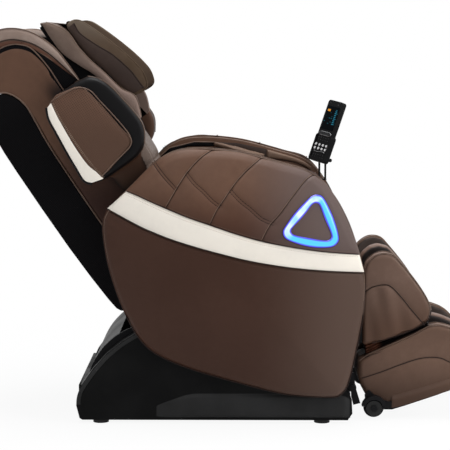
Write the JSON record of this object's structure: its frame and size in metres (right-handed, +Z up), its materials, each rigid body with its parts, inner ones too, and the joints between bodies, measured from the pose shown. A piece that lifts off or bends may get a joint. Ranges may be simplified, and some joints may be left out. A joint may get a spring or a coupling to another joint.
{
  "type": "massage chair",
  "caption": "Reclining massage chair with padded arms, shoulder wings, head pillow, lifting calf and foot rests and a handset on a stalk.",
  "frame": {"origin": "on the floor under the middle of the chair's outer box", "axes": "+X forward, where the sitter looks, +Y to the sitter's left, +Z up"},
  "size_m": [1.4335, 0.8028, 1.1266],
  "materials": {
    "brown_leather": "satin",
    "soft_leather": "satin",
    "perforated_leather": "satin",
    "cream_leather": "satin",
    "black_fabric": "matte",
    "dark_plastic": "gloss",
    "black_plastic": "satin",
    "roller_plastic": "satin",
    "foot_rubber": "matte",
    "black_steel": "satin",
    "bright_steel": "satin",
    "ring_light": "gloss",
    "screen_glass": "gloss",
    "white_keys": "satin",
    "silver_key": "satin"
  },
  "bodies": {
    "base": {"base_frame": "black_steel", "base_cover_right": "dark_plastic", "base_cover_left": "dark_plastic", "rubber_feet": "foot_rubber", "control_box": "dark_plastic", "air_pump": "dark_plastic", "power_inlet": "black_plastic", "tilt_axle": "bright_steel", "tilt_actuator": "bright_steel"},
    "seat_unit": {"seat_frame": "black_steel", "rear_bonnet": "dark_plastic", "recline_axle": "bright_steel", "seat_cushion": "brown_leather", "arm_core_right": "brown_leather", "arm_core_left": "brown_leather", "side_panel_right": "brown_leather", "side_panel_left": "brown_leather", "arm_stripe_right": "cream_leather", "arm_stripe_left": "cream_leather", "arm_quilt_right": "brown_leather", "arm_quilt_left": "brown_leather", "light_ring_right": "ring_light", "light_ring_left": "ring_light", "arm_pad_right": "soft_leather", "arm_pad_left": "soft_leather", "back_actuator": "bright_steel", "leg_actuator": "bright_steel"},
    "backrest": {"back_frame": "black_steel", "back_cover": "black_fabric", "back_side_right": "brown_leather", "back_side_left": "brown_leather", "head_hood": "brown_leather", "back_pad": "soft_leather", "shoulder_wing_right": "black_fabric", "shoulder_wing_left": "black_fabric", "shoulder_face_right": "perforated_leather", "shoulder_face_left": "perforated_leather"},
    "pillow": {"head_pillow": "soft_leather"},
    "carriage": {"massage_carriage": "black_plastic"},
    "kneader": {"massage_arms": "roller_plastic"},
    "calf_rest": {"calf_frame": "black_steel", "calf_pad_right": "brown_leather", "calf_pad_left": "brown_leather", "calf_divider": "brown_leather"},
    "foot_rest": {"foot_frame": "black_steel", "foot_pad_right": "brown_leather", "foot_pad_left": "brown_leather", "foot_divider": "brown_leather"},
    "wheel_right": {"foot_wheel_right": "foot_rubber"},
    "wheel_left": {"foot_wheel_left": "foot_rubber"},
    "back_ram": {"back_rod": "bright_steel"},
    "leg_ram": {"leg_rod": "bright_steel"},
    "tilt_ram": {"tilt_rod": "bright_steel"},
    "stalk": {"remote_stalk": "black_plastic"},
    "cradle": {"remote_cradle": "black_plastic"},
    "handset": {"remote_body": "black_plastic", "remote_screen": "screen_glass"},
    "keys": {"remote_keys": "white_keys"},
    "bar_key": {"remote_bar": "silver_key"},
    "rocker": {"power_switch": "black_plastic"}
  },
  "joints": [
    {"name": "seat_tilt", "type": "hinge", "parent": "base", "child": "seat_unit", "pos_m": [-0.194, 0, 0.076], "axis": [0, -1, 0], "range_deg": [0, 12]},
    {"name": "back_recline", "type": "hinge", "parent": "seat_unit", "child": "backrest", "pos_m": [-0.223, 0, 0.275], "axis": [0, -1, 0], "range_deg": [-6, 30]},
    {"name": "pillow_flip", "type": "hinge", "parent": "backrest", "child": "pillow", "pos_m": [-0.44357, 0, 1.11304], "axis": [0, -1, 0], "range_deg": [0, 110]},
    {"name": "carriage_travel", "type": "slide", "parent": "backrest", "child": "carriage", "axis": [-0.5736, 0, 0.8192], "range_m": [-0.13, 0.18]},
    {"name": "knead_swing", "type": "hinge", "parent": "carriage", "child": "kneader", "pos_m": [-0.35742, 0, 0.75464], "axis": [0, -1, 0], "range_deg": [-15, 15]},
    {"name": "leg_lift", "type": "hinge", "parent": "seat_unit", "child": "calf_rest", "pos_m": [0.368, 0, 0.418], "axis": [0, -1, 0], "range_deg": [0, 48]},
    {"name": "leg_extend", "type": "slide", "parent": "calf_rest", "child": "foot_rest", "axis": [0.6266, 0, -0.7793], "range_m": [0, 0.12]},
    {"name": "wheel_right_spin", "type": "hinge", "parent": "foot_rest", "child": "wheel_right", "pos_m": [0.418, -0.246, 0.035], "axis": [0, 1, 0], "continuous": true},
    {"name": "wheel_left_spin", "type": "hinge", "parent": "foot_rest", "child": "wheel_left", "pos_m": [0.418, 0.246, 0.035], "axis": [0, 1, 0], "continuous": true},
    {"name": "back_rod_travel", "type": "slide", "parent": "seat_unit", "child": "back_ram", "axis": [1, 0, 0], "range_m": [-0.0094, 0.0462]},
    {"name": "leg_rod_travel", "type": "slide", "parent": "seat_unit", "child": "leg_ram", "axis": [1, 0, 0], "range_m": [0, 0.0981]},
    {"name": "tilt_rod_travel", "type": "slide", "parent": "base", "child": "tilt_ram", "axis": [-0.4226, 0, 0.9063], "range_m": [0, 0.0906]},
    {"name": "remote_swivel", "type": "hinge", "parent": "seat_unit", "child": "stalk", "pos_m": [0.2905, 0.2271, 0.62], "axis": [0, 0, 1], "range_deg": [-60, 60]},
    {"name": "remote_tilt", "type": "hinge", "parent": "stalk", "child": "cradle", "pos_m": [0.2905, 0.2271, 0.703], "axis": [0.6428, -0.766, 0], "range_deg": [-20, 20]},
    {"name": "remote_lift", "type": "slide", "parent": "cradle", "child": "handset", "axis": [0.3239, 0.0901, 0.9418], "range_m": [0, 0.06]},
    {"name": "key_press", "type": "slide", "parent": "handset", "child": "keys", "axis": [0.7286, 0.6113, -0.309], "range_m": [0, 0.0008], "stiffness_N_per_m": 600, "springref_m": -0.0006},
    {"name": "bar_press", "type": "slide", "parent": "handset", "child": "bar_key", "axis": [0.7286, 0.6113, -0.309], "range_m": [0, 0.0008], "stiffness_N_per_m": 600, "springref_m": -0.0006},
    {"name": "switch_rock", "type": "hinge", "parent": "base", "child": "rocker", "pos_m": [-0.41, -0.132, 0.045], "axis": [0, 1, 0], "range_deg": [0, 16]}
  ],
  "couplings": [
    {"joint": "back_rod_travel", "follows": "back_recline", "m_per_rad": 0.087911},
    {"joint": "leg_rod_travel", "follows": "leg_lift", "m_per_rad": 0.11692},
    {"joint": "tilt_rod_travel", "follows": "seat_tilt", "m_per_rad": 0.43158}
  ]
}
